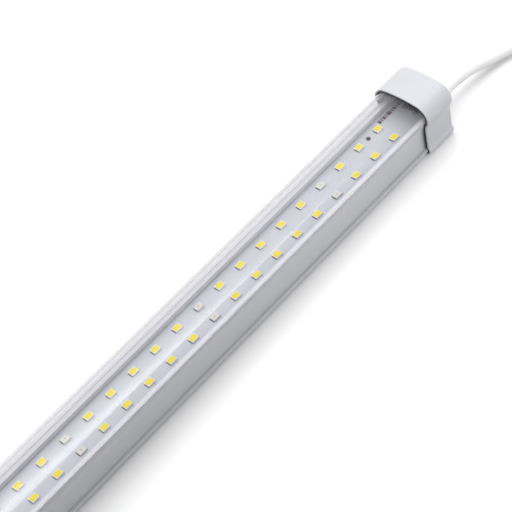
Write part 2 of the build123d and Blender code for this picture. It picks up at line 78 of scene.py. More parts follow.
# ---- hank: the rest of the lead, in stacked turns ----
HANK_TURNS = 4
HANK_LAYER = 5.95 * MM
HANK_Y = -12.0 * MM
HANK_LEFT_X = 688.0 * MM
HANK_RIGHT_X = 798.0 * MM
HANK_RADIUS = 19.5 * MM        # of the spline's own points; the line itself runs just inside them
HANK_LOOP_START = 58           # degrees, where an end loop leaves the neck
HANK_LOOP_POINTS = 9
HANK_LOOP_SPAN = 244           # degrees
HANK_START_POINTS = 3          # of the first left loop, where the lead comes in
HANK_NECK = 3.2 * MM           # half the distance between the two runs at the tie
HANK_NECK_DX = 17 * MM         # from the tie to the neck's outer points
HANK_NECK_FLARE = 9            # per metre: how the runs part with the square of that distance

# ---- strain reliefs ----
RELIEF_SIDES = 32
RELIEF_GROOVE = 0.30           # mm below the taper
RELIEF_RIB = (                 # share of a rib's pitch, mm below the taper
    (0.0, RELIEF_GROOVE), (0.06, RELIEF_GROOVE), (0.16, 0.02), (0.26, 0.0),
    (0.74, 0.0), (0.84, 0.02), (0.94, RELIEF_GROOVE))
GROMMET_RADII = (4.15 * MM, 3.1 * MM)
GROMMET_NOSE_RIBS = 4          # on the stretch outside the cap
PLUG_RELIEF_RADII = (3.3 * MM, 5.3 * MM)
PLUG_RELIEF_RIBS = 7

# ---- plug body: (share of the length, share of the full size) from the lead's side to the blades ----
PLUG_BACK = [(0.0, 0.52), (0.015, 0.62), (0.05, 0.74), (0.12, 0.84), (0.20, 0.875)]
PLUG_RIB = ((0.0, 0.88), (0.015, 0.915), (0.045, 0.915), (0.06, 0.88))
PLUG_FRONT = [(0.74, 0.93), (0.80, 0.985), (0.84, 1.0), (0.975, 1.0), (1.0, 0.97)]
PLUG_RIBS = 5
PLUG_RIB_START = 0.26
PLUG_RIB_PITCH = 0.09
PLUG_CORNER_SHARE = 0.34

# ---- strap round the hank ----
TIE_THICKNESS = 0.95 * MM
TIE_CORNER = 3.2 * MM
TIE_BEVEL = 0.4 * MM
TIE_SLACK = 0.1 * MM           # at each edge, so that the wave stays close to the strap's box
TIE_WAVE = 0.25 * MM
TIE_WAVE_STEP = 1.9            # radians from one point of the outline to the next

# ---- cover section, above the floor ----
COVER_THICKNESS = 0.9 * MM
COVER_HALF_WIDTH = 12.3 * MM
COVER_TOP_Z = 25.8 * MM
CROWN_RADIUS = 53.0 * MM
SHOULDER_RADIUS = 5.3 * MM
TUCK_RADIUS = 4.0 * MM
COVER_SEAT_Z = 17.05 * MM
LEG_OUTER = 9.4 * MM
LEG_FOOT_Z = 15.65 * MM
HOOK_Y = 9.85 * MM
HOOK_Z = (15.7 * MM, 16.3 * MM)
TUCK_STEPS, SHOULDER_STEPS, CROWN_STEPS = 8, 16, 12

# ---- cover's haze: milky feet, an even haze on the turned-in sides, and more where it turns away ----
COVER_LEG_Y = 8.1 * MM
COVER_SEAT_TOP = 18.0 * MM
COVER_LEG_BLEND = 0.3 * MM
COVER_FOOT_Z = 15.4 * MM
COVER_FOOT_BLEND = 0.4 * MM
COVER_BLEND = 0.25 * MM
COVER_PLATE_END = 10.75 * MM
COVER_TUCK_CLEAR = (18.6 * MM, 20.6 * MM)   # TUCK_HAZE holds below this range and turned haze above it
TUCK_HAZE = 0.18
FOOT_HAZE = 0.85
COVER_MIRROR_SHARE = ((0.0, 0.06), (0.45, 0.085), (0.62, 0.34), (0.76, 0.85), (1.0, 0.95))
COVER_TURNED_HAZE = ((0.0, 0.015), (0.30, 0.03), (0.5, 0.24), (0.85, 0.42), (1.0, 0.7))

# ---- LED rows ----
PAIRS = 96
PITCH = 12.0 * MM
ROW_Y = 4.2 * MM
RED_EVERY, RED_FIRST = 6, 3
PACKAGE_LENGTH = 3.5 * MM
PACKAGE_OUTLINES = (           # length, width, corner radius and height, all in mm
    (3.50, 2.80, 0.14, 0.02), (3.50, 2.80, 0.14, 0.74), (3.40, 2.70, 0.12, 0.80),
    (3.12, 2.42, 0.50, 0.80), (2.98, 2.28, 0.44, 0.68))
WINDOW_OUTLINES = (
    (3.05, 2.35, 0.48, 0.70), (3.05, 2.35, 0.48, 0.785), (2.70, 2.00, 0.44, 0.815), (1.60, 1.00, 0.30, 0.835))
TERMINAL_X = (1.62 * MM, 1.88 * MM)
TERMINAL_HALF_WIDTH = 1.15 * MM
TERMINAL_HEIGHT = 0.44 * MM
TERMINAL_CHAMFER = 0.03 * MM
DOT_X, DOT_Y = 0.75 * MM, -2.25 * MM
DOT_RADIUS = 0.13 * MM
DOT_HEIGHT = 0.02 * MM
DOT_SIDES = 10
DIE_HALF = 0.23 * MM
DIE_Z = (0.80 * MM, 0.845 * MM)
DIE_CHAMFER = 0.01 * MM

# ---- raised bands and marks on the board ----
TRACE_GAP = 2.2 * MM           # from the middle of a package to the end of a band
TRACE_HALF_WIDTH = 1.5 * MM
TRACE_HEIGHT = 0.02 * MM
MARK_START = 3.0 * MM          # past the last pair
MARK_WIDTHS = (1.3, 0.6, 1.3, 0.6, 2.2, 0.6, 1.3, 0.6, 1.3)     # mm
MARK_GAP = 0.45                # mm
MARK_Y = (5.2 * MM, 7.0 * MM)
MARK_HEIGHT = 0.03 * MM

# ---- lights: metres, watts and degrees ----
WORLD_STRENGTH = 0.38
TUBE_AIM_X = 0.55
STRIP_Z = 0.80
STRIP_WIDTH = 0.10
STRIP_ROLL = -26
STRIPS = (                     # name, x, y, length, power
    ("strip_long", 0.575, 0.285, 0.76, 0.71),
    ("strip_short", 0.50, 0.32, 0.55, 0.75))


# ================================================================ mesh helpers
def new_mesh(name, vertices, faces, smooth_angle=None):
    """A mesh object from lists of points and faces, smooth where its faces meet at less than an angle."""
    mesh = bpy.data.meshes.new(name)
    mesh.from_pydata([tuple(v) for v in vertices], [], faces)
    mesh.update()
    if smooth_angle is not None:
        mesh.shade_smooth()
        mesh.set_sharp_from_angle(angle=math.radians(smooth_angle))
    obj = bpy.data.objects.new(name, mesh)
    scene.collection.objects.link(obj)
    return obj


def loft(rings, closed=False):
    """Faces that join rings of equally many points, with end faces unless the rings form a loop."""
    count = len(rings[0])
    vertices = [p for ring in rings for p in ring]
    faces = []
    for r in range(len(rings) if closed else len(rings) - 1):
        a, b = r * count, (r + 1) % len(rings) * count
        for i in range(count):
            j = (i + 1) % count
            faces.append((a + i, a + j, b + j, b + i))
    if not closed:
        faces.append(tuple(reversed(range(count))))
        faces.append(tuple(range(len(vertices) - count, len(vertices))))
    return vertices, faces


def rounded_rectangle(length, width, radius, steps=4):
    """Points round a rectangle with rounded corners, in the XY plane, counter-clockwise."""
    points = []
    for corner, (sx, sy) in enumerate(((1, 1), (-1, 1), (-1, -1), (1, -1))):
        for i in range(steps + 1):
            angle = math.radians(90 * corner + 90 * i / steps)
            points.append(Vector((sx * (length / 2 - radius) + radius * math.cos(angle),
                                  sy * (width / 2 - radius) + radius * math.sin(angle), 0)))
    return points


def at_height(points, z):
    """The same outline, lifted to a height."""
    return [Vector((p.x, p.y, z)) for p in points]


def joined(*parts):
    """Several templates of points and faces as one."""
    vertices, faces = [], []
    for part_vertices, part_faces in parts:
        start = len(vertices)
        vertices += part_vertices
        faces += [tuple(i + start for i in f) for f in part_faces]
    return vertices, faces


def repeated(template, places):
    """One template, copied to every place."""
    vertices, faces = template
    return joined(*(([v + place for v in vertices], faces) for place in places))


def block(x, y, z, chamfer=0.0):
    """A box from three (low, high) ranges, its top edges chamfered."""
    def outline(inset):
        left, right, near, far = x[0] + inset, x[1] - inset, y[0] + inset, y[1] - inset
        return [Vector((a, b, 0)) for a, b in ((left, near), (right, near), (right, far), (left, far))]

    rings = [at_height(outline(0.0), z[0]), at_height(outline(0.0), z[1] - chamfer)]
    if chamfer:
        rings.append(at_height(outline(chamfer), z[1]))
    return loft(rings)


def stacked_outlines(outlines, corner_steps):
    """A template lofted through rounded rectangles, each with its size, corner and height in mm."""
    return loft([at_height(rounded_rectangle(length * MM, width * MM, radius * MM, corner_steps), height * MM)
                 for length, width, radius, height in outlines])


def middle(low, high):
    """The middle of a box from its two corners."""
    return (low.x + high.x) / 2, (low.y + high.y) / 2, (low.z + high.z) / 2


def place_piece(obj, material, replaced=()):
    """Gives a new piece its material and slot, lets it ride on the one body and stand for CAD nodes."""
    obj.data.materials.append(material)
    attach(obj, "root")
    if replaced:
        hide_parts(*replaced)
    return obj


# ================================================================ material helpers
class Finish:
    """A Principled material with procedural detail in object coordinates."""

    def __init__(self, name, colour, roughness, **constants):
        self.material = bpy.data.materials.new(name)
        self.material.use_nodes = True
        self.nodes = self.material.node_tree.nodes
        self.links = self.material.node_tree.links
        self.shader = self.nodes["Principled BSDF"]
        self.shader.inputs["Base Color"].default_value = (*colour, 1)
        self.shader.inputs["Roughness"].default_value = roughness
        for socket, value in constants.items():
            self.shader.inputs[socket.replace("_", " ")].default_value = value
        self.coordinates = self.nodes.new("ShaderNodeTexCoord").outputs["Object"]
        self.normal = None

    def noise(self, scale, stretch=(1, 1, 1), detail=3.0):
        """A noise texture's value, with its scale in features per metre."""
        mapping = self.nodes.new("ShaderNodeMapping")
        mapping.inputs["Scale"].default_value = [scale * s for s in stretch]
        self.links.new(self.coordinates, mapping.inputs["Vector"])
        texture = self.nodes.new("ShaderNodeTexNoise")
        texture.inputs["Scale"].default_value = 1.0
        texture.inputs["Detail"].default_value = detail
        self.links.new(mapping.outputs["Vector"], texture.inputs["Vector"])
        return texture.outputs["Fac"]

    def ramp(self, value, stops):
        """A colour ramp from (position, colour) stops."""
        node = self.nodes.new("ShaderNodeValToRGB")
        elements = node.color_ramp.elements
        while len(elements) < len(stops):
            elements.new(0.5)
        for element, (position, colour) in zip(elements, stops):
            element.position = position
            element.color = (*colour, 1)
        self.links.new(value, node.inputs["Fac"])
        return node.outputs["Color"]

    def colour_from(self, value, low, high, start=0.35, end=0.65):
        """Base colour between two tones, as a value goes from start to end."""
        self.links.new(self.ramp(value, [(start, low), (end, high)]), self.shader.inputs["Base Color"])
        return self

    def roughness_from(self, value, low, high):
        """Roughness between two numbers, over the middle of a noise value's range."""
        node = self.nodes.new("ShaderNodeMapRange")
        node.inputs["From Min"].default_value = 0.3
        node.inputs["From Max"].default_value = 0.7
        node.inputs["To Min"].default_value = low
        node.inputs["To Max"].default_value = high
        self.links.new(value, node.inputs["Value"])
        self.links.new(node.outputs["Result"], self.shader.inputs["Roughness"])
        return self

    def bump(self, value, depth_mm, strength=1.0):
        """Relief of a depth in millimetres, added to what is there."""
        node = self.nodes.new("ShaderNodeBump")
        node.inputs["Strength"].default_value = strength
        node.inputs["Distance"].default_value = depth_mm * MM
        self.links.new(value, node.inputs["Height"])
        if self.normal is not None:
            self.links.new(self.normal, node.inputs["Normal"])
        self.normal = node.outputs["Normal"]
        self.links.new(self.normal, self.shader.inputs["Normal"])
        return self


def math_node(finish, operation, first, second=None):
    """A math node's value from sockets, or from a socket and a number."""
    node = finish.nodes.new("ShaderNodeMath")
    node.operation = operation
    finish.links.new(first, node.inputs[0])
    if isinstance(second, (int, float)):
        node.inputs[1].default_value = second
    elif second is not None:
        finish.links.new(second, node.inputs[1])
    return node.outputs["Value"]


def step_between(finish, value, start, end):
    """0 where the value is at start or before it, 1 from end on, and smooth between them."""
    node = finish.nodes.new("ShaderNodeMapRange")
    node.interpolation_type = "SMOOTHSTEP"
    node.inputs["From Min"].default_value = start
    node.inputs["From Max"].default_value = end
    finish.links.new(value, node.inputs["Value"])
    return node.outputs["Result"]


def moulded_plastic(name, colour, roughness=0.42, grain_mm=0.012, tint=0.03, **constants):
    """Moulded plastic: a fine spark-eroded grain and slow changes of tone and gloss."""
    finish = Finish(name, colour, roughness, **constants)
    dark = tuple(max(0.0, c - tint) for c in colour)
    light = tuple(min(1.0, c + tint) for c in colour)
    finish.colour_from(finish.noise(60), dark, light)
    finish.roughness_from(finish.noise(220), roughness - 0.05, roughness + 0.06)
    return finish.bump(finish.noise(5200, detail=2.0), grain_mm)


def grey_stops(levels):
    """Ramp stops from (position, level) pairs."""
    return [(position, (level,) * 3) for position, level in levels]


def metal(name, colour, roughness, metallic=1.0, stretch=(1, 1, 1), grain_mm=0.006):
    """Metal: a fine grain with small changes of tone and gloss, drawn out or packed along each axis."""
    finish = Finish(name, colour, roughness, Metallic=metallic)
    dark = tuple(c * 0.92 for c in colour)
    light = tuple(min(1.0, c * 1.06) for c in colour)
    finish.colour_from(finish.noise(1500, stretch), dark, light)
    finish.roughness_from(finish.noise(900, stretch), roughness - 0.06, roughness + 0.08)
    return finish.bump(finish.noise(6000, stretch), grain_mm)


# ================================================================ materials
def housing_material():
    """Satin anodised extrusion: blasted grain, with faint die lines along X."""
    finish = Finish("housing_anodised", (0.58, 0.59, 0.62), 0.46, Metallic=0.45)
    finish.colour_from(finish.noise(3600, detail=2.0), (0.53, 0.54, 0.57), (0.63, 0.64, 0.67))
    finish.roughness_from(finish.noise(1400, (0.02, 1, 1)), 0.40, 0.52)
    finish.bump(finish.noise(5200, detail=2.0), 0.008)
    return finish.bump(finish.noise(2600, (0.004, 1, 1)), 0.006).material


def cover_material():
    """Clear extruded plastic: it mirrors and hazes more as it turns away, and its feet are milky."""
    finish = Finish("cover_clear", (0.82, 0.81, 0.86), 0.20, IOR=1.5)
    finish.roughness_from(finish.noise(500, (0.02, 1, 1)), 0.17, 0.21)
    finish.bump(finish.noise(300, (0.004, 1, 1)), 0.0002)
    nodes, links = finish.nodes, finish.links
    facing = nodes.new("ShaderNodeLayerWeight")
    facing.inputs["Blend"].default_value = 0.5
    mirror_share = finish.ramp(facing.outputs["Facing"], grey_stops(COVER_MIRROR_SHARE))
    turned_haze = finish.ramp(facing.outputs["Facing"], grey_stops(COVER_TURNED_HAZE))
    place = nodes.new("ShaderNodeSeparateXYZ")
    links.new(finish.coordinates, place.inputs["Vector"])
    sideways = math_node(finish, "ABSOLUTE", place.outputs["Y"])
    outside_leg = step_between(finish, sideways, COVER_LEG_Y, COVER_LEG_Y + COVER_LEG_BLEND)
    low = step_between(finish, place.outputs["Z"], COVER_SEAT_TOP + COVER_BLEND, COVER_SEAT_TOP)
    above_foot = step_between(finish, place.outputs["Z"], COVER_FOOT_Z, COVER_FOOT_Z + COVER_FOOT_BLEND)
    on_plate = step_between(finish, sideways, COVER_PLATE_END + COVER_BLEND, COVER_PLATE_END)
    foot = math_node(finish, "MULTIPLY", outside_leg, on_plate)
    for band in (low, above_foot):
        foot = math_node(finish, "MULTIPLY", foot, band)
    foot_haze = math_node(finish, "MULTIPLY", foot, FOOT_HAZE)
    above_tuck = step_between(finish, place.outputs["Z"], *COVER_TUCK_CLEAR)
    in_tuck = step_between(finish, place.outputs["Z"], *reversed(COVER_TUCK_CLEAR))
    haze_share = math_node(finish, "MULTIPLY", turned_haze, above_tuck)
    for other in (foot_haze, math_node(finish, "MULTIPLY", in_tuck, TUCK_HAZE)):
        haze_share = math_node(finish, "MAXIMUM", haze_share, other)
    clear = nodes.new("ShaderNodeBsdfTransparent")
    clear.inputs["Color"].default_value = (0.985, 0.985, 0.99, 1)
    gloss = nodes.new("ShaderNodeBsdfGlossy")
    gloss.inputs["Color"].default_value = (0.76, 0.76, 0.77, 1)
    gloss.inputs["Roughness"].default_value = 0.19
    hazed = nodes.new("ShaderNodeMixShader")
    links.new(haze_share, hazed.inputs["Fac"])
    links.new(clear.outputs["BSDF"], hazed.inputs[1])
    links.new(finish.shader.outputs["BSDF"], hazed.inputs[2])
    whole = nodes.new("ShaderNodeMixShader")
    links.new(mirror_share, whole.inputs["Fac"])
    links.new(hazed.outputs["Shader"], whole.inputs[1])
    links.new(gloss.outputs["BSDF"], whole.inputs[2])
    links.new(whole.outputs["Shader"], nodes["Material Output"].inputs["Surface"])
    return finish.material


def board_material():
    """White solder mask over copper: a bluish white with slow mottling and a soft sheen."""
    finish = Finish("board_mask", (0.575, 0.59, 0.635), 0.42, Specular_IOR_Level=0.3)
    finish.colour_from(finish.noise(90), (0.56, 0.575, 0.62), (0.59, 0.605, 0.65))
    finish.roughness_from(finish.noise(700, (0.1, 1, 1)), 0.38, 0.50)
    return finish.bump(finish.noise(1500), 0.006).material


def phosphor_material():
    """Yellow phosphor in silicone: grainy, with a soft skin."""
    finish = Finish("led_phosphor", (0.86, 0.72, 0.03), 0.5, Specular_IOR_Level=0.2)
    finish.colour_from(finish.noise(4200), (0.83, 0.69, 0.022), (0.89, 0.76, 0.040))
    return finish.bump(finish.noise(9000), 0.01).material


def cord_material():
    """Soft white sheath: satin, with faint drag lines and handling marks."""
    finish = Finish("lead_sheath", (0.86, 0.86, 0.865), 0.42)
    finish.colour_from(finish.noise(140), (0.845, 0.845, 0.85), (0.875, 0.875, 0.88))
    finish.roughness_from(finish.noise(600), 0.32, 0.46)
    finish.bump(finish.noise(2600), 0.008)
    return finish.bump(finish.noise(160), 0.03).material


def strap_material():
    """Woven hook-and-loop strap: two crossing sets of threads."""
    finish = Finish("strap_weave", (0.12, 0.12, 0.13), 0.85, Sheen_Weight=0.3, Sheen_Roughness=0.5)
    finish.colour_from(finish.noise(1300), (0.09, 0.09, 0.10), (0.16, 0.16, 0.17))
    for axis in ("X", "Z"):
        wave = finish.nodes.new("ShaderNodeTexWave")
        wave.bands_direction = axis
        wave.inputs["Scale"].default_value = 900
        wave.inputs["Distortion"].default_value = 1.5
        finish.links.new(finish.coordinates, wave.inputs["Vector"])
        finish.bump(wave.outputs["Fac"], 0.12, 0.7)
    return finish.material


def floor_material():
    """Matt white paper with a barely visible mottling."""
    finish = Finish("floor_paper", (0.93, 0.93, 0.93), 0.9, Specular_IOR_Level=0.1)
    finish.colour_from(finish.noise(8), (0.925, 0.925, 0.925), (0.935, 0.935, 0.935))
    return finish.material


MATERIALS = {
    "housing": housing_material(),
    "cover": cover_material(),
    "board": board_material(),
    "phosphor": phosphor_material(),
    "cord": cord_material(),
    "strap": strap_material(),
    "cap": moulded_plastic("cap_plastic", (0.56, 0.563, 0.60), 0.50, 0.016, 0.010).material,
    # Black seal rubber; its near-black tone is also painted shade for the dark inside of the cap's hood.
    "gasket": moulded_plastic("seal_rubber_and_hood_shade", (0.025, 0.025, 0.028), 0.6, 0.02, 0.008).material,
    "screw": metal("screw_zinc", (0.62, 0.62, 0.64), 0.3).material,
    "led_white": moulded_plastic("led_housing", (0.88, 0.88, 0.84), 0.35, 0.006, 0.02).material,
    "led_clear": moulded_plastic("led_silicone", (0.70, 0.69, 0.64), 0.3, 0.004, 0.02).material,
    "led_cream": moulded_plastic("led_housing_cream", (0.70, 0.69, 0.64), 0.35, 0.006, 0.02).material,
    "die": moulded_plastic("led_die", (0.36, 0.10, 0.06), 0.3, 0.002, 0.04).material,
    "terminal": metal("led_terminal", (0.055, 0.028, 0.024), 0.5, 0.1).material,
    "rivet": metal("rivet_lacquer", (0.065, 0.014, 0.012), 0.6, 0.1).material,
    "marks": moulded_plastic("board_marks", (0.085, 0.03, 0.024), 0.6, 0.004, 0.015).material,
    # Solder joints: tin, made dark grey here as painted shade for the shadow that falls on the joints beside
    # the cap.
    "solder": metal("solder_painted_shade", (0.20, 0.19, 0.18), 0.5).material,
    "driver_board": moulded_plastic("driver_mask", (0.05, 0.22, 0.10), 0.35, 0.01, 0.03).material,
    "film": moulded_plastic("driver_film", (0.82, 0.80, 0.70), 0.3, 0.004, 0.02).material,
    "can": moulded_plastic("capacitor_sleeve", (0.03, 0.03, 0.07), 0.3, 0.004, 0.02).material,
    "bobbin": moulded_plastic("bobbin_nylon", (0.05, 0.05, 0.05), 0.5, 0.01, 0.02).material,
    "ferrite": moulded_plastic("ferrite_core", (0.06, 0.06, 0.065), 0.7, 0.03, 0.02).material,
    "copper": metal("winding_copper", (0.72, 0.32, 0.14), 0.32, stretch=(6, 1, 1)).material,
    "chip": moulded_plastic("chip_epoxy", (0.03, 0.03, 0.03), 0.55, 0.012, 0.01).material,
    "fuse": moulded_plastic("fuse_sleeve", (0.45, 0.22, 0.08), 0.3, 0.004, 0.04).material,
    "black_wire": moulded_plastic("wire_black", (0.03, 0.03, 0.032), 0.45, 0.006, 0.01).material,
    "brown_wire": moulded_plastic("wire_brown", (0.20, 0.10, 0.05), 0.4, 0.006, 0.03).material,
    "plug": moulded_plastic("plug_vinyl", (0.87, 0.87, 0.87), 0.42, 0.014, 0.02).material,
    "blade": metal("blade_nickel", (0.78, 0.74, 0.64), 0.22, stretch=(0.05, 1, 1)).material,
}

CAD_MATERIALS = {
    "housing": "housing", "led_board": "board",
    "cap_cord_end": "cap", "cap_far_end": "cap",
    "gasket_cord_end": "gasket", "gasket_far_end": "gasket", "cap_screws": "screw",
    "board_rivets": "rivet", "board_solder_joints": "solder",
    "mains_wires": "brown_wire", "led_wires": "black_wire",
    "driver_board": "driver_board", "driver_insulating_film": "film", "driver_capacitors": "can",
    "driver_choke_bobbin": "bobbin", "driver_choke_core": "ferrite", "driver_choke_winding": "copper",
    "driver_controller": "chip", "driver_rectifier": "chip", "driver_fuse": "fuse",
    "plug_blades": "blade",
}
for node_name, material_name in CAD_MATERIALS.items():
    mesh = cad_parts[node_name].data
    mesh.materials.clear()
    mesh.materials.append(MATERIALS[material_name])


# ================================================================ camera
def make_camera():
    """The camera, from its place and the two directions that its picture's sides run in."""
    camera = bpy.data.objects.new("camera", bpy.data.cameras.new("camera"))
    camera.data.lens = CAMERA_LENS
    camera.data.clip_start = CAMERA_CLIP_START
    right = CAMERA_RIGHT.normalized()
    back = right.cross(CAMERA_UP).normalized()
    up = back.cross(right)
    camera.matrix_world = Matrix.Translation(CAMERA_PLACE) @ Matrix((right, up, back)).transposed().to_4x4()
    scene.collection.objects.link(camera)
    scene.camera = camera


# ================================================================ mains lead
def hank_points():
    """Every turn of the hank: round the left loop, where the lead climbs one layer, along the near side of
    the neck, round the right loop and back along the far side. It starts and ends in the left loop."""
    points = []
    step = HANK_LOOP_SPAN / (HANK_LOOP_POINTS - 1)
    middle_x = (HANK_LEFT_X + HANK_RIGHT_X) / 2
    for turn in range(HANK_TURNS + 1):
        for i in range(HANK_LOOP_POINTS):
            climb = min(1.0, 2 * i / (HANK_LOOP_POINTS - 1)) - 1.0
            if turn == 0 and i < HANK_LOOP_POINTS - HANK_START_POINTS:
                continue
            angle = math.radians(HANK_LOOP_START + step * i)
            z = CORD_REST_Z + HANK_LAYER * (turn + (climb if turn else 0.0))
            points.append((HANK_LEFT_X + HANK_RADIUS * math.cos(angle),
                           HANK_Y + HANK_RADIUS * math.sin(angle), z))
        if turn == HANK_TURNS:
            break
        z = CORD_REST_Z + HANK_LAYER * turn
        for dx in (-HANK_NECK_DX, 0.0, HANK_NECK_DX):
            points.append((middle_x + dx, HANK_Y - HANK_NECK - HANK_NECK_FLARE * dx ** 2, z))
        for i in range(HANK_LOOP_POINTS):
            angle = math.radians(HANK_LOOP_START + 180 + step * i)
            points.append((HANK_RIGHT_X + HANK_RADIUS * math.cos(angle),
                           HANK_Y + HANK_RADIUS * math.sin(angle), z))
        for dx in (HANK_NECK_DX, 0.0, -HANK_NECK_DX):
            points.append((middle_x + dx, HANK_Y + HANK_NECK + HANK_NECK_FLARE * dx ** 2, z))
    return points


def spline_line(points):
    """The smooth line of one NURBS spline with these control points."""
    curve = bpy.data.curves.new("lead_line", "CURVE")
    curve.dimensions = "3D"
    curve.resolution_u = 8
    spline = curve.splines.new("NURBS")
    spline.points.add(len(points) - 1)
    for point, place in zip(spline.points, points):
        point.co = (*place, 1)
    spline.order_u = 3
    spline.use_endpoint_u = True
    holder = bpy.data.objects.new("lead_line", curve)
    scene.collection.objects.link(holder)
    bpy.context.view_layer.update()
    mesh = bpy.data.meshes.new_from_object(holder)
    line = [v.co.copy() for v in mesh.vertices]
    bpy.data.objects.remove(holder)
    return line


def cord_section():
    """The lead's section: an oval, a little wider than tall, with a shallow groove above and below."""
    section = []
    for i in range(CORD_SECTION_POINTS):
        angle = 2 * math.pi * i / CORD_SECTION_POINTS
        across = math.cos(angle) * CORD_WIDTH / 2
        groove = 1 - CORD_GROOVE_SHARE * math.exp(-(across / CORD_GROOVE_WIDTH) ** 2)
        section.append((across, math.sin(angle) * CORD_HEIGHT / 2 * groove))
    return section


def make_lead():
    """The whole lead from cap to plug as one sheath, and the line that it follows."""
    line = spline_line(LEAD_ROUTE + hank_points() + TAIL_ROUTE)
    section = cord_section()
    rings = []
    for i, point in enumerate(line):
        ahead = (line[min(i + 1, len(line) - 1)] - line[max(i - 1, 0)]).normalized()
        side = ahead.cross(Vector((0, 0, 1))).normalized()
        top = side.cross(ahead)
        rings.append([point + side * a + top * b for a, b in section])
    lead = new_mesh("mains_lead", *loft(rings), smooth_angle=50)
    place_piece(lead, MATERIALS["cord"], ("lead_tube", "lead_hank", "lead_tail"))
    return lead, line


def ribbed_relief(name, start, length, radii, ribs, material, node):
    """A tapered strain relief along X: ribs with grooves between them, closed at both ends."""
    ahead = Vector((1, 0, 0))
    side = ahead.cross(Vector((0, 0, 1)))
    top = side.cross(ahead)
    pitch = length / ribs
    steps = [((rib + share) * pitch, sunk * MM) for rib in range(ribs) for share, sunk in RELIEF_RIB]
    steps.append((length, RELIEF_GROOVE * MM))
    rings = []
    for along, sunk in steps:
        radius = radii[0] + (radii[1] - radii[0]) * along / length - sunk
        centre = Vector(start) + ahead * along
        rings.append([centre + side * radius * math.cos(a) + top * radius * math.sin(a)
                      for a in (2 * math.pi * i / RELIEF_SIDES for i in range(RELIEF_SIDES))])
    piece = new_mesh(name, *loft(rings), smooth_angle=40)
    return place_piece(piece, material, (node,))


def make_grommet():
    """The lead's strain relief at the cap, ribbed over its whole length; only its nose is outside."""
    low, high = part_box("cord_grommet")
    _, centre_y, centre_z = middle(low, high)
    length = high.x - low.x
    nose = high.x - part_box("cap_cord_end")[1].x
    return ribbed_relief("cord_strain_relief", (low.x, centre_y, centre_z), length, GROMMET_RADII,
                         round(length / nose * GROMMET_NOSE_RIBS), MATERIALS["cord"],
                         "cord_grommet")


def make_plug():
    """Moulded plug: a rounded body that widens to a flat front, with finger ribs round its middle."""
    low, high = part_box("plug_body")
    _, centre_y, centre_z = middle(low, high)
    width, height, length = high.y - low.y, high.z - low.z, high.x - low.x
    profile = list(PLUG_BACK)
    for rib in range(PLUG_RIBS):
        rib_start = PLUG_RIB_START + rib * PLUG_RIB_PITCH
        profile += [(rib_start + along, size) for along, size in PLUG_RIB]
    rings = []
    for along, size in profile + PLUG_FRONT:
        wide, tall = width * size, height * (0.5 + 0.5 * size)
        outline = rounded_rectangle(wide, tall, min(wide, tall) * PLUG_CORNER_SHARE, 6)
        rings.append([Vector((low.x + along * length, centre_y + p.x, centre_z + p.y)) for p in outline])
    body = new_mesh("plug_moulding", *loft(rings), smooth_angle=35)
    place_piece(body, MATERIALS["plug"], ("plug_body",))
    relief_low, relief_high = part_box("plug_relief")
    relief = ribbed_relief("plug_strain_relief", (relief_low.x, centre_y, centre_z),
                           relief_high.x - relief_low.x, PLUG_RELIEF_RADII, PLUG_RELIEF_RIBS,
                           MATERIALS["plug"], "plug_relief")
    return body, relief


def make_tie():
    """The strap round the hank: one closed thin band with bevelled, slightly wavy edges."""
    low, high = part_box("hank_tie")
    middle_x, centre_y, centre_z = middle(low, high)
    half = (high.x - low.x) / 2 - TIE_SLACK
    flat = half - TIE_BEVEL
    outline = rounded_rectangle(high.y - low.y, high.z - low.z, TIE_CORNER, 6)
    section = ((-half, 0.35), (-flat, 0.0), (flat, 0.0), (half, 0.35),
               (half, 0.75), (flat, 1.0), (-flat, 1.0), (-half, 0.75))
    rings = []
    for i, p in enumerate(outline):
        wave = TIE_WAVE * math.sin(i * TIE_WAVE_STEP)
        outward = p.normalized()
        ring = []
        for dx, depth in section:
            place = p - outward * TIE_THICKNESS * depth
            ring.append(Vector((middle_x + dx + wave, centre_y + place.x, centre_z + place.y)))
        rings.append(ring)
    tie = new_mesh("hank_strap", *loft(rings, closed=True), smooth_angle=50)
    return place_piece(tie, MATERIALS["strap"], ("hank_tie",))


# ================================================================ cover
def arc_points(centre, radius, start, end, steps):
    """Points on an arc in the YZ plane, from one angle to another in degrees, from +Y towards +Z."""
    points = []
    for i in range(steps + 1):
        angle = math.radians(start + (end - start) * i / steps)
        points.append((centre[0] + radius * math.cos(angle), centre[1] + radius * math.sin(angle)))
    return points


def shell_half(inset, seat_z):
    """Half of the cover's shell, from its turned-in side up to the middle of the crown."""
    crown_z = COVER_TOP_Z - CROWN_RADIUS
    shoulder_y = COVER_HALF_WIDTH - SHOULDER_RADIUS
    shoulder_rise = math.sqrt((CROWN_RADIUS - SHOULDER_RADIUS) ** 2 - shoulder_y ** 2)
    shoulder_z = crown_z + shoulder_rise
    lean = math.degrees(math.atan2(shoulder_rise, shoulder_y))
    tuck_radius = TUCK_RADIUS - inset
    tuck = math.degrees(math.asin((shoulder_z - seat_z) / tuck_radius))
    return (arc_points((COVER_HALF_WIDTH - TUCK_RADIUS, shoulder_z), tuck_radius, -tuck, 0, TUCK_STEPS)
            + arc_points((shoulder_y, shoulder_z), SHOULDER_RADIUS - inset, 0, lean, SHOULDER_STEPS)[1:]
            + arc_points((0, crown_z), CROWN_RADIUS - inset, lean, 90, CROWN_STEPS)[1:])


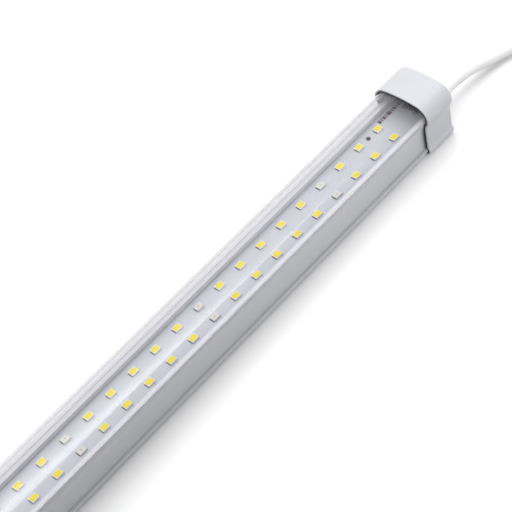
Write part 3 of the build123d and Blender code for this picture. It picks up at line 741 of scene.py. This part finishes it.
def make_cover():
    """The clear cover: one bent shell with two legs that hook into the housing."""
    low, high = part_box("cover")
    leg_inner = LEG_OUTER - COVER_THICKNESS
    half_outer = [(leg_inner, LEG_FOOT_Z), (LEG_OUTER, LEG_FOOT_Z), (LEG_OUTER, HOOK_Z[0]),
                  (HOOK_Y, HOOK_Z[0]), (HOOK_Y, HOOK_Z[1]), (LEG_OUTER, HOOK_Z[1]), (LEG_OUTER, COVER_SEAT_Z)]
    half_outer += shell_half(0.0, COVER_SEAT_Z)
    half_inner = [(leg_inner, COVER_SEAT_Z + COVER_THICKNESS)]
    half_inner += shell_half(COVER_THICKNESS, COVER_SEAT_Z + COVER_THICKNESS)
    outer, inner = (half + [(-y, z) for y, z in reversed(half[:-1])] for half in (half_outer, half_inner))
    outline = outer + inner[::-1]
    ends = [[Vector((x, y, z)) for y, z in outline] for x in (low.x, high.x)]
    cover = new_mesh("clear_cover", *loft(ends), smooth_angle=30)
    place_piece(cover, MATERIALS["cover"], ("cover",))


# ================================================================ LED board
def led_start():
    """The x of the pair nearest the cord end, and the height of the board's face."""
    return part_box("led_packages_white")[1].x - PACKAGE_LENGTH / 2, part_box("led_board")[1].z


def led_places(red):
    """The places of the red or the white packages on the board's face, counted from the cord end."""
    last_x, board_top = led_start()
    return [Vector((last_x - index * PITCH, y, board_top)) for index in range(PAIRS) for y in (-ROW_Y, ROW_Y)
            if (index % RED_EVERY == RED_FIRST) == red]


def terminal_template():
    """The dark end terminals, and the small solder dot beside the package."""
    parts = []
    for side in (-1, 1):
        x = sorted(side * edge for edge in TERMINAL_X)
        parts.append(block(x, (-TERMINAL_HALF_WIDTH, TERMINAL_HALF_WIDTH), (0.0, TERMINAL_HEIGHT),
                           TERMINAL_CHAMFER))
    dot = [Vector((DOT_X + DOT_RADIUS * math.cos(a), DOT_Y + DOT_RADIUS * math.sin(a), 0))
           for a in (2 * math.pi * i / DOT_SIDES for i in range(DOT_SIDES))]
    parts.append(loft([at_height(dot, 0.0), at_height(dot, DOT_HEIGHT)]))
    return joined(*parts)


def make_leds():
    """Packages with a recess, their fillings, which are a little proud in the middle, terminals and dies."""
    white, red = led_places(False), led_places(True)
    package, window = stacked_outlines(PACKAGE_OUTLINES, 2), stacked_outlines(WINDOW_OUTLINES, 3)
    pieces = (
        ("led_bodies_white", package, white, "led_white", "led_white", ("led_packages_white",)),
        ("led_bodies_red", package, red, "led_cream", "led_white", ("led_packages_red",)),
        ("led_phosphor_fill", window, white, "phosphor", "led_phosphor", ("led_phosphor_windows",)),
        ("led_clear_fill", window, red, "led_clear", "led_clear", ("led_clear_windows",)),
        ("led_terminals", terminal_template(), white + red, "terminal", "led_white", ()),
    )
    for name, template, places, material, slot, replaced in pieces:
        obj = new_mesh(name, *repeated(template, places), smooth_angle=30)
        place_piece(obj, MATERIALS[material], replaced)
    die = block((-DIE_HALF, DIE_HALF), (-DIE_HALF, DIE_HALF), DIE_Z, DIE_CHAMFER)
    place_piece(new_mesh("led_red_dies", *repeated(die, red)), MATERIALS["die"])


def make_board_print():
    """Copper under the mask from package to package, and generic marks beside the cap."""
    last_x, board_top = led_start()
    trace = block((-PITCH + TRACE_GAP, -TRACE_GAP), (-TRACE_HALF_WIDTH, TRACE_HALF_WIDTH),
                  (0.0, TRACE_HEIGHT))
    places = [Vector((last_x - index * PITCH, y, board_top))
              for index in range(PAIRS - 1) for y in (-ROW_Y, ROW_Y)]
    traces = new_mesh("board_traces", *repeated(trace, places))
    place_piece(traces, MATERIALS["board"])
    marks = []
    x = last_x + MARK_START
    for width in MARK_WIDTHS:
        marks.append(block((x, x + width * MM), MARK_Y, (board_top, board_top + MARK_HEIGHT)))
        x += (width + MARK_GAP) * MM
    print_piece = new_mesh("board_marks", *joined(*marks))
    place_piece(print_piece, MATERIALS["marks"])


# ================================================================ stage and light
def make_stage():
    """The white floor. Diffuse rays don't see it, so that it doesn't lighten the tube's side walls."""
    floor = new_mesh("floor", [(-6, -6, 0), (7, -6, 0), (7, 6, 0), (-6, 6, 0)], [(0, 1, 2, 3)])
    floor.data.materials.append(floor_material())
    floor.visible_diffuse = False


def area_light(name, place, target, size, power, roll=0.0, in_gloss=True, in_diffuse=True):
    """A rectangular light, aimed at a target and turned about its own axis, seen by some or all rays."""
    light = bpy.data.lights.new(name, "AREA")
    light.shape = "RECTANGLE"
    light.size, light.size_y = size
    light.energy = power
    obj = bpy.data.objects.new(name, light)
    aim = (Vector(target) - Vector(place)).to_track_quat("-Z", "Y")
    obj.matrix_world = Matrix.Translation(place) @ (aim.to_matrix() @ Matrix.Rotation(roll, 3, "Z")).to_4x4()
    obj.visible_glossy = in_gloss
    obj.visible_diffuse = in_diffuse
    scene.collection.objects.link(obj)


def make_light():
    """A large soft light, two strips that show only in gloss, and a small fill at the cap."""
    world = bpy.data.worlds.new("studio")
    world.use_nodes = True
    background = world.node_tree.nodes["Background"]
    background.inputs["Color"].default_value = (1, 1, 1, 1)
    background.inputs["Strength"].default_value = WORLD_STRENGTH
    scene.world = world
    area_light("ceiling_box", (0.80, 1.00, 2.0), (TUBE_AIM_X, 0.0, 0.0), (3.6, 3.2), 89.0, in_gloss=False)
    for name, x, y, length, power in STRIPS:
        area_light(name, (x, y, STRIP_Z), (x, y, 0.0), (length, STRIP_WIDTH), power,
                   math.radians(STRIP_ROLL), in_diffuse=False)
    area_light("end_fill", (0.585, -0.19, 0.09), (TUBE_AIM_X, 0.0, 0.01), (0.2, 0.10), 0.21, in_gloss=False)


make_camera()
lead, lead_line = make_lead()
grommet = make_grommet()
plug_body, plug_relief = make_plug()
tie = make_tie()
make_cover()
make_leds()
make_board_print()
make_stage()
make_light()
